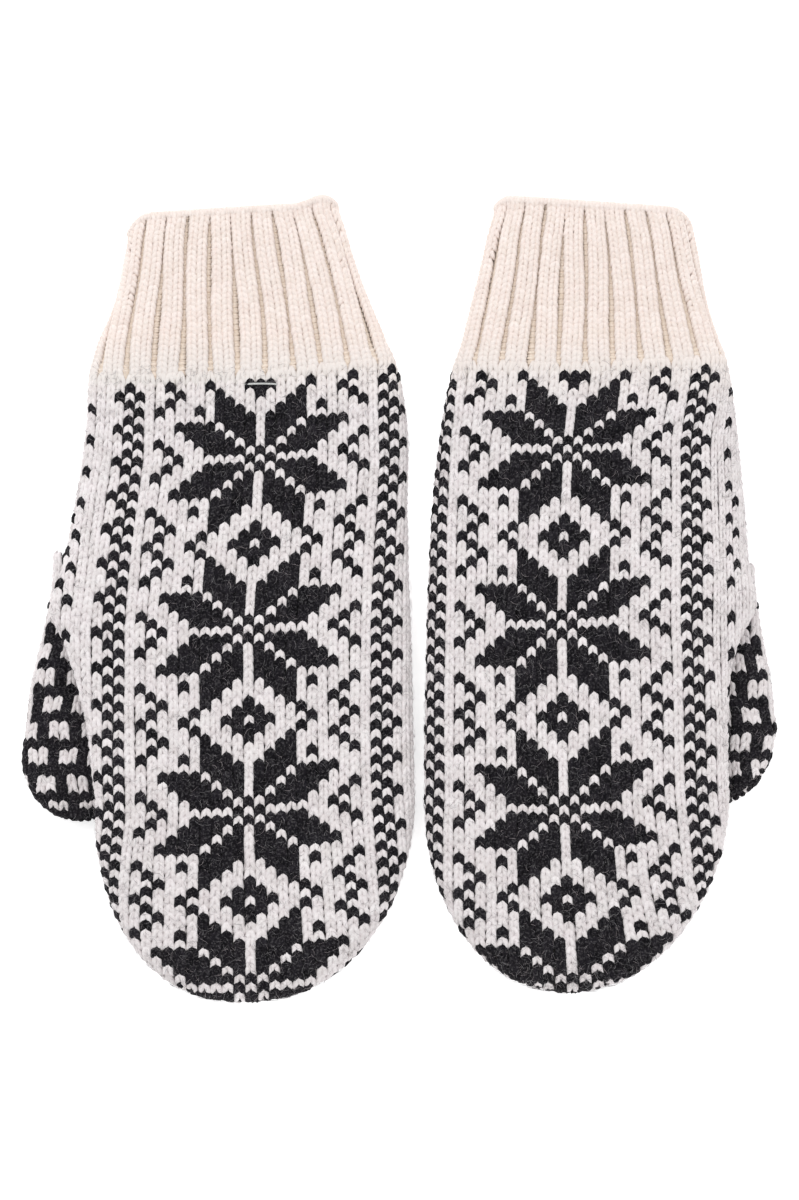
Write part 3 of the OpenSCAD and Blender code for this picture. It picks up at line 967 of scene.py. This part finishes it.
class Paint:
    """One material, with short ways to add nodes to it."""

    def __init__(self, name):
        self.material = bpy.data.materials.new(name)
        self.material.use_nodes = True
        self.tree = self.material.node_tree
        self.shader = self.tree.nodes["Principled BSDF"]

    def fill(self, node, values):
        """Each value is a number or a colour for an input, or the output to join to it."""
        for key, value in values.items():
            if isinstance(value, bpy.types.NodeSocket):
                self.tree.links.new(value, node.inputs[key])
            else:
                node.inputs[key].default_value = value

    def add(self, kind, result, values, **settings):
        node = self.tree.nodes.new(f"ShaderNode{kind}")
        for key, value in settings.items():
            setattr(node, key, value)
        self.fill(node, values)
        return node.outputs[result]

    def where(self):
        return self.add("TexCoord", "Object", {})

    def noise(self, where, scale, detail):
        return self.add("TexNoise", "Fac", {"Vector": where, "Scale": scale, "Detail": detail})

    def ramp(self, level, dark, light, low=0.0, high=1.0):
        """Goes from dark where the level is low to light where it is high."""
        node = self.tree.nodes.new("ShaderNodeValToRGB")
        for number, (position, colour) in enumerate(((low, dark), (high, light))):
            node.color_ramp.elements[number].position = position
            node.color_ramp.elements[number].color = (*colour, 1)
        self.fill(node, {"Fac": level})
        return node.outputs["Color"]

    def span(self, value, low, high, most=1.0):
        """Goes from 0 at low to most at high."""
        values = {"From Min": low, "From Max": high, "To Max": most, "Value": value}
        return self.add("MapRange", "Result", values)

    def mix(self, share, colour, other, blend="MIX"):
        values = {"B": (*other, 1), "Factor": share, "A": colour}
        return self.add("Mix", "Result", values, data_type="RGBA", blend_type=blend)

    def math(self, operation, *values):
        return self.add("Math", "Value", dict(enumerate(values)), operation=operation)

    def finish(self, colour, height, strength, distance, roughness, sheen=0.0):
        """Colour, bump, roughness and sheen of the surface."""
        bump = self.add("Bump", "Normal", {"Strength": strength, "Distance": distance, "Height": height})
        self.fill(self.shader, {"Base Color": colour, "Normal": bump, "Roughness": roughness})
        self.shader.inputs["Sheen Weight"].default_value = sheen
        return self.material


def wool(name, dark, light, blush=(1, 1, 1), sheen=0.3, specular=0.2, fibre=0.4, fleck=0.0, fade=None):
    """Yarn: its colour wanders between two shades and a blush, with fine fibres lying along it."""
    paint = Paint(name)
    where = paint.where()
    tone = paint.add("Attribute", "Fac", {}, attribute_name="tone")
    yarn = paint.add("UVMap", "UV", {}, uv_map="Yarn")
    stretch = {"Scale": (14, 2.2, 1), "Rotation": (0, 0, 0.5), "Vector": yarn}
    strands = paint.noise(paint.add("Mapping", "Vector", stretch), 1.6, 3)
    level = paint.math("MULTIPLY_ADD", tone, 0.07, paint.noise(where, 1300, 4))
    level = paint.math("MULTIPLY_ADD", strands, fibre, level)
    colour = paint.ramp(level, dark, light, 0.45, 0.95)
    colour = paint.mix(paint.noise(where, 210, 1), colour, blush, "MULTIPLY")
    if fleck:
        colour = paint.mix(paint.span(paint.noise(where, 1500, 2), 0.5, 0.7, fleck), colour, FLECK)
    if fade:
        other, y_from, y_to = fade
        y = paint.add("SeparateXYZ", "Y", {"Vector": where})
        colour = paint.mix(paint.span(y, y_from * MM, y_to * MM), colour, other)
    paint.shader.inputs["Sheen Roughness"].default_value = 0.5
    paint.shader.inputs["Specular IOR Level"].default_value = specular
    return paint.finish(colour, strands, 0.35, 0.0003, 0.92, sheen)


def tape_material(name):
    """Close plain weave of a narrow white tape."""
    paint = Paint(name)
    values = {"Vector": paint.where(), "Scale": 700, "Distortion": 0.6}
    weave = [paint.add("TexWave", "Fac", values, bands_direction=axis) for axis in ("X", "Y")]
    crossed = paint.math("MULTIPLY", *weave)
    colour = paint.ramp(crossed, (0.62, 0.62, 0.60), (0.88, 0.88, 0.86))
    return paint.finish(colour, crossed, 0.4, 0.0001, 0.6)


def backing_material(name, dark, light):
    """Reverse of the fabric, seen between stitches and inside the mouth, coloured darker than the yarn in
    front: painted shade, and behind the hand and thumb also the black floats.
    """
    paint = Paint(name)
    cloud = paint.noise(paint.where(), 700, 4)
    return paint.finish(paint.ramp(cloud, dark, light, 0.35, 0.65), cloud, 0.6, 0.0006, 0.95, 0.2)


def floor_material():
    paint = Paint("pale_floor")
    white = (1, 1, 1, 1)
    values = {"Base Color": (0.94, 0.94, 0.94, 1), "Roughness": 0.9, "Emission Color": white}
    paint.fill(paint.shader, {**values, "Emission Strength": FLOOR_GLOW})
    return paint.material


# ---- putting a mitten together

def finish_piece(piece, slot, nodes, body, *blended):
    """Slot (not used), replaced nodes, which are hidden, and the body that the piece follows; a piece
    given a second body and points is not attached, only has its transform baked in.
    """
    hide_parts(*nodes)
    if blended:
        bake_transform(piece)
    else:
        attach(piece, body)


SLOTS = {
    "cream": "cream_wool", "black": "black_wool", "thread": "tack_thread",
    "light_hair": "cream_wool", "dark_hair": "black_wool",
}


def build_mitten(facts, wools):
    m = Mitten(facts)
    n = m.name
    hand_body, cuff_body, thumb_body = f"{n}_hand_body", f"{n}_cuff_body", f"{n}_thumb_body"
    wrist = [(m.side * 0.05, y * MM, 0.008) for y in WRIST_BLEND]
    root = [(m.side * m.root_u * MM, y * MM, 0.005) for y in ROOT_BLEND]
    hand_to_cuff = (hand_body, cuff_body, *wrist)
    hand_to_thumb = (hand_body, thumb_body, *root)

    def piece(name, yarn, sides, wool_name, nodes, body, *blended):
        made = yarn.build(f"{n}_{name}", m.side, sides, wools[wool_name])
        slot = SLOTS.get(wool_name, "ivory_wool")
        finish_piece(made, slot, [f"{n}_{node}" for node in nodes], body, *blended)

    # Hand
    yarns = hand_yarn(m)
    piece("back_cream", yarns["back", "cream"], 7, "cream", ["hand"], hand_body)
    piece("side_cream", yarns["back", "side"], 7, "cream", [], hand_body)
    piece("back_black", yarns["back", "black"], 7, "black", [], hand_body)
    piece("palm_cream", yarns["palm", "cream"], 6, "cream", [], hand_body)
    piece("palm_black", yarns["palm", "black"], 6, "black", [], hand_body)
    tip = closing_loops(m, m.form, 0.9, TIP_LOOPS, 3.4, 2.2)
    piece("tip_loops", tip, 7, "black", ["tip_closure"], hand_body)

    # Cuff, whose lowest row is the hand's
    knit = {1: yarns["back", "ivory"], -1: yarns["palm", "ivory"]}
    purl = rib_yarn(m, knit)
    piece("cuff_ribs", knit[1], 7, "ivory", ["cuff"], *hand_to_cuff)
    piece("cuff_ribs_under", knit[-1], 7, "ivory", [], *hand_to_cuff)
    # The purl bars take ivory yarn painted darker tan: painted shade in the deep rib valleys.
    piece("cuff_purls", purl, 6, "valley", [], *hand_to_cuff)
    piece("rim", rim_yarn(m), 7, "ivory", ["cuff_edge"], cuff_body)
    piece("loose_end", loose_end(m), 8, "ivory", ["yarn_end"], cuff_body)

    # Thumb
    for tint, yarn in thumb_yarn(m).items():
        nodes = ["thumb"] if tint == "cream" else []
        piece(f"thumb_{tint}", yarn, 7, tint, nodes, *hand_to_thumb)
    piece("thumb_ring", picked_up_round(m), 6, "black", ["thumb_round"], *hand_to_thumb)
    loops = closing_loops(m, m.thumb_form, 0.45, THUMB_LOOPS, 2.6, 1.6)
    piece("thumb_loops", loops, 7, "black", ["thumb_closure"], thumb_body)

    # Stray hairs
    for tint, (hand, thumb) in hair_yarn(m).items():
        piece(f"{tint}s", hand, 3, tint, [], *hand_to_cuff)
        piece(f"thumb_{tint}s", thumb, 3, tint, [], *hand_to_thumb)

    # Fabric behind the stitches, in darker colours that paint the shade between them and inside the mouth
    def lining(name, form, sheets, levels, wool_name, closed, count, slot, *bodies):
        full_name = f"{n}_{name}_lining"
        made = shell(full_name, m, form, sheets, levels, wools[wool_name], closed, count)
        finish_piece(made, slot, [], *bodies)

    sheets = (m.back, m.palm)
    flat = flat_levels(m.form, [0.8, 1.6, 3, 5, 8], np.arange(-120, 79, 3.0))
    lining("hand", m.form, sheets, flat, "reverse", True, 45, "cream_wool", hand_body)
    rising = [lambda u, w=w: m.cuff_y(w, u) for w in np.linspace(-0.02, 1.0, 20)]
    lining("cuff", m.form, sheets, rising, "inside", False, 45, "ivory_wool", *hand_to_cuff)
    sheets = (m.thumb_top, m.thumb_low)
    flat = flat_levels(m.thumb_form, [0.8, 2, 4, 7], np.arange(-56, 16, 3.0))
    lining("thumb", m.thumb_form, sheets, flat, "reverse", True, 21, "black_wool", *hand_to_thumb)

    # Label, inside the left mitten only
    if m.label:
        finish_piece(label_tape(m, wools["tape"]), "label_tape", [f"{n}_label"], hand_body)
        piece("label_thread", label_thread(m), 8, "thread", ["label_stitches"], hand_body)


def floor():
    size, level = 3.0, -0.0003
    corners = np.array([(-1, -1, 0), (1, -1, 0), (1, 1, 0), (-1, 1, 0)]) * size + (0, 0, level)
    plain_mesh("floor", corners, [(0, 1, 2, 3)], floor_material())


def camera():
    """Straight down over the pair, with the cuffs at the top of the picture."""
    data = bpy.data.cameras.new("camera")
    data.sensor_fit = "VERTICAL"
    data.sensor_height = 24
    distance, seen, level = 1.8, 0.4, 0.010
    data.lens = data.sensor_height * (distance - level) / seen
    data.clip_start, data.clip_end = 0.1, 20
    piece = add_object("camera", data)
    piece.location = (0, 0, distance)
    bpy.context.scene.camera = piece


def area_light(name, place, size, power):
    """Round light aimed at the middle of the pair."""
    data = bpy.data.lights.new(name, "AREA")
    data.shape = "DISK"
    data.size = size
    data.energy = power
    piece = add_object(name, data)
    piece.location = place
    piece.rotation_euler = (-Vector(place)).to_track_quat("-Z", "Y").to_euler()


def lighting():
    world = bpy.data.worlds.new("studio")
    world.use_nodes = True
    background = world.node_tree.nodes["Background"]
    background.inputs["Color"].default_value = (1, 1, 1, 1)
    background.inputs["Strength"].default_value = 0.75
    bpy.context.scene.world = world
    area_light("key", (-0.5, 0.9, 1.3), 0.9, 9)
    area_light("fill", (0.9, -0.3, 1.4), 1.2, 4)
    bpy.context.scene.view_settings.view_transform = "Standard"


camera()
lighting()
floor()
WOOLS = {
    "cream": wool("cream_wool", (0.69, 0.655, 0.645), (0.87, 0.845, 0.84), (1.0, 0.96, 0.985),
                  fade=((0.86, 0.80, 0.765), 64, 82)),
    "black": wool("black_wool", (0.003, 0.003, 0.0042), (0.019, 0.018, 0.023), (1.0, 0.86, 0.84),
                  sheen=0.03, specular=0.06, fleck=0.5),
    "ivory": wool("ivory_wool", (0.83, 0.735, 0.67), (0.93, 0.85, 0.80), (1.0, 0.965, 0.98),
                  fade=((0.80, 0.76, 0.735), 88, 72)),
    # Ivory yarn painted darker tan for the purl bars: painted shade of the rib valleys, not a different
    # yarn.
    "valley": wool("valley_painted_shade_wool", (0.74, 0.64, 0.54), (0.87, 0.775, 0.69), (1.0, 0.97, 0.94)),
    "light_hair": wool("light_hair", (0.16, 0.15, 0.16), (0.34, 0.33, 0.34)),
    "dark_hair": wool("dark_hair", (0.26, 0.22, 0.23), (0.46, 0.41, 0.42)),
    "thread": wool("thread", (0.40, 0.41, 0.40), (0.66, 0.67, 0.66), sheen=0.1),
    "tape": tape_material("label_tape"),
    # Behind the hand and thumb: dark grey-brown, partly the black floats of the stranded reverse and
    # partly painted shade in the gaps between stitches.
    "reverse": backing_material("reverse_floats_and_shade_wool", (0.16, 0.14, 0.13), (0.34, 0.31, 0.28)),
    # Inside the cuff: ivory yarn painted darker tan as painted shade, seen in the mouth and between the
    # ribs.
    "inside": backing_material("inside_painted_shade_wool", (0.60, 0.50, 0.41), (0.80, 0.70, 0.60)),
}
build_mitten(LEFT, WOOLS)
build_mitten(RIGHT, WOOLS)
